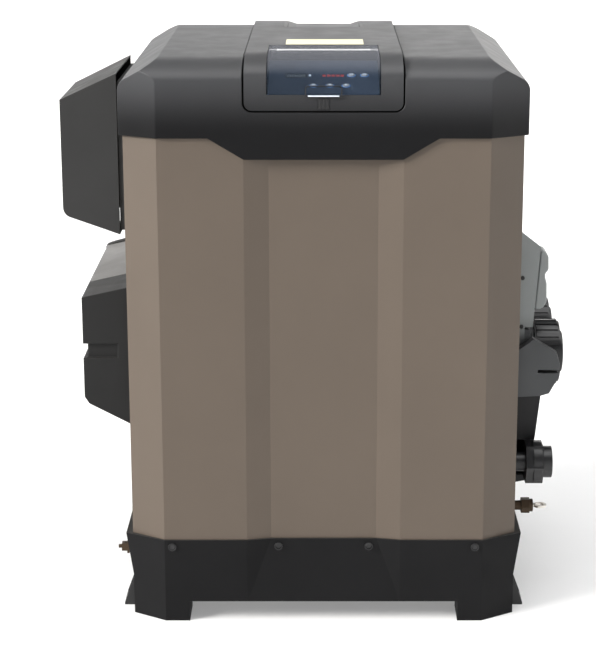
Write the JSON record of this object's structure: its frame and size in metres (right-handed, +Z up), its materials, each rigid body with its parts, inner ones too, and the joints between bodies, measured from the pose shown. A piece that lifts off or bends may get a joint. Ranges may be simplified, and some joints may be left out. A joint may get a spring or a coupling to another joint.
{
  "type": "pool and spa heat pump",
  "caption": "Upright pool and spa heat pump: bevelled metal cabinet, moulded lid with a door over its controls, side air hood, wiring box and water unions.",
  "frame": {"origin": "centre of the four anchor bolt holes, on the ground", "axes": "+Z up, -Y towards the front with the controls, +X towards the water connections"},
  "size_m": [0.9283, 0.7, 1.0318],
  "materials": {
    "taupe_paint": "satin powder coat",
    "lid_plastic": "fine moulded grain",
    "base_plastic": "moulded",
    "bracket_paint": "powder coat",
    "zinc_steel": "galvanised",
    "door_clear": "clear tinted, polished",
    "black_plastic": "moulded",
    "keypad_film": "printed film",
    "circuit_board": "solder mask",
    "lcd_glass": "polished",
    "red_led": "lit lens",
    "key_plastic": "polished",
    "cream_label": "matt laminate",
    "aluminium_fins": "bare",
    "copper": "drawn copper",
    "motor_paint": "gloss enamel",
    "rubber": "matt",
    "hood_plastic": "moulded",
    "shell_plastic": "moulded",
    "titanium": "drawn tube",
    "valve_brass": "machined",
    "drier_paint": "gloss enamel",
    "cover_plastic": "moulded",
    "header_plastic": "glass-filled",
    "pvc": "moulded",
    "aged_brass": "dull",
    "cast_zinc": "cast",
    "box_plastic": "moulded",
    "box_cover_plastic": "moulded",
    "gland_plastic": "moulded"
  },
  "bodies": {
    "cabinet": {"base_pan": "base_plastic", "anchor_brackets": "bracket_paint", "front_panel": "taupe_paint", "left_panel": "taupe_paint", "right_panel": "taupe_paint", "rear_panel": "taupe_paint", "coil_guard": "bracket_paint", "corner_posts": "zinc_steel", "divider_tray": "zinc_steel", "top_lid": "lid_plastic", "control_pod": "lid_plastic", "keypad_panel": "keypad_film", "control_board": "circuit_board", "lcd_screen": "lcd_glass", "status_leds": "red_led", "label_plate": "cream_label", "evaporator_fins": "aluminium_fins", "evaporator_tubes": "copper", "fan_shroud": "black_plastic", "fan_bracket": "zinc_steel", "fan_motor": "motor_paint", "discharge_grille": "bracket_paint", "hood_frame": "rubber", "discharge_hood": "hood_plastic", "compressor": "motor_paint", "compressor_grommets": "rubber", "heat_exchanger": "shell_plastic", "titanium_coil": "titanium", "reversing_valve": "valve_brass", "expansion_valve": "valve_brass", "filter_drier": "drier_paint", "accumulator": "motor_paint", "refrigerant_pipes": "copper", "side_cover": "cover_plastic", "switch_cover": "cover_plastic", "water_header": "header_plastic", "water_pipes": "pvc", "union_tailpieces": "black_plastic", "union_orings": "rubber", "drain_plug": "black_plastic", "drain_cock": "aged_brass", "service_box": "box_plastic", "terminal_block": "black_plastic", "contactor": "pvc", "conduit_gland": "gland_plastic", "bonding_lug": "aged_brass", "casing_screws": "bracket_paint"},
    "door": {"display_door": "door_clear"},
    "latch": {"door_latch": "black_plastic"},
    "key_power": {"button_power": "key_plastic"},
    "key_mode": {"button_mode": "key_plastic"},
    "key_up": {"button_up": "key_plastic"},
    "key_down": {"button_down": "key_plastic"},
    "key_menu": {"button_menu": "key_plastic"},
    "fan": {"fan_wheel": "black_plastic"},
    "inlet_nut": {"inlet_union_nut": "black_plastic"},
    "outlet_nut": {"outlet_union_nut": "black_plastic"},
    "drain_tap": {"drain_handle": "cast_zinc"},
    "wiring_cover": {"service_cover": "box_cover_plastic"},
    "relay": {"contactor_armature": "black_plastic"}
  },
  "joints": [
    {"name": "door_hinge", "type": "hinge", "parent": "cabinet", "child": "door", "pos_m": [0, -0.163, 1.0252], "axis": [-1, 0, 0], "range_deg": [0, 105]},
    {"name": "latch_push", "type": "slide", "parent": "cabinet", "child": "latch", "axis": [0, 1, 0], "range_m": [0, 0.003], "stiffness_N_per_m": 400, "springref_m": -0.003},
    {"name": "press_power", "type": "slide", "parent": "cabinet", "child": "key_power", "axis": [0, 0.2548, -0.967], "range_m": [0, 0.0015], "stiffness_N_per_m": 400, "springref_m": -0.001},
    {"name": "press_mode", "type": "slide", "parent": "cabinet", "child": "key_mode", "axis": [0, 0.2548, -0.967], "range_m": [0, 0.0015], "stiffness_N_per_m": 400, "springref_m": -0.001},
    {"name": "press_up", "type": "slide", "parent": "cabinet", "child": "key_up", "axis": [0, 0.2548, -0.967], "range_m": [0, 0.0015], "stiffness_N_per_m": 400, "springref_m": -0.001},
    {"name": "press_down", "type": "slide", "parent": "cabinet", "child": "key_down", "axis": [0, 0.2548, -0.967], "range_m": [0, 0.0015], "stiffness_N_per_m": 400, "springref_m": -0.001},
    {"name": "press_menu", "type": "slide", "parent": "cabinet", "child": "key_menu", "axis": [0, 0.2548, -0.967], "range_m": [0, 0.0015], "stiffness_N_per_m": 400, "springref_m": -0.001},
    {"name": "fan_spin", "type": "hinge", "parent": "cabinet", "child": "fan", "pos_m": [-0.3, 0, 0.83], "axis": [1, 0, 0], "continuous": true},
    {"name": "inlet_nut_turn", "type": "hinge", "parent": "cabinet", "child": "inlet_nut", "pos_m": [0.42, -0.14, 0.457], "axis": [1, 0, 0], "continuous": true},
    {"name": "outlet_nut_turn", "type": "hinge", "parent": "cabinet", "child": "outlet_nut", "pos_m": [0.42, 0.04, 0.457], "axis": [1, 0, 0], "continuous": true},
    {"name": "drain_turn", "type": "hinge", "parent": "cabinet", "child": "drain_tap", "pos_m": [0.38, -0.225, 0.181], "axis": [1, 0, 0], "range_deg": [0, 90]},
    {"name": "cover_lift_off", "type": "slide", "parent": "cabinet", "child": "wiring_cover", "axis": [-1, 0, 0], "range_m": [0, 0.12]},
    {"name": "relay_pull_in", "type": "slide", "parent": "cabinet", "child": "relay", "axis": [1, 0, 0], "range_m": [0, 0.004], "stiffness_N_per_m": 300, "springref_m": -0.003}
  ]
}
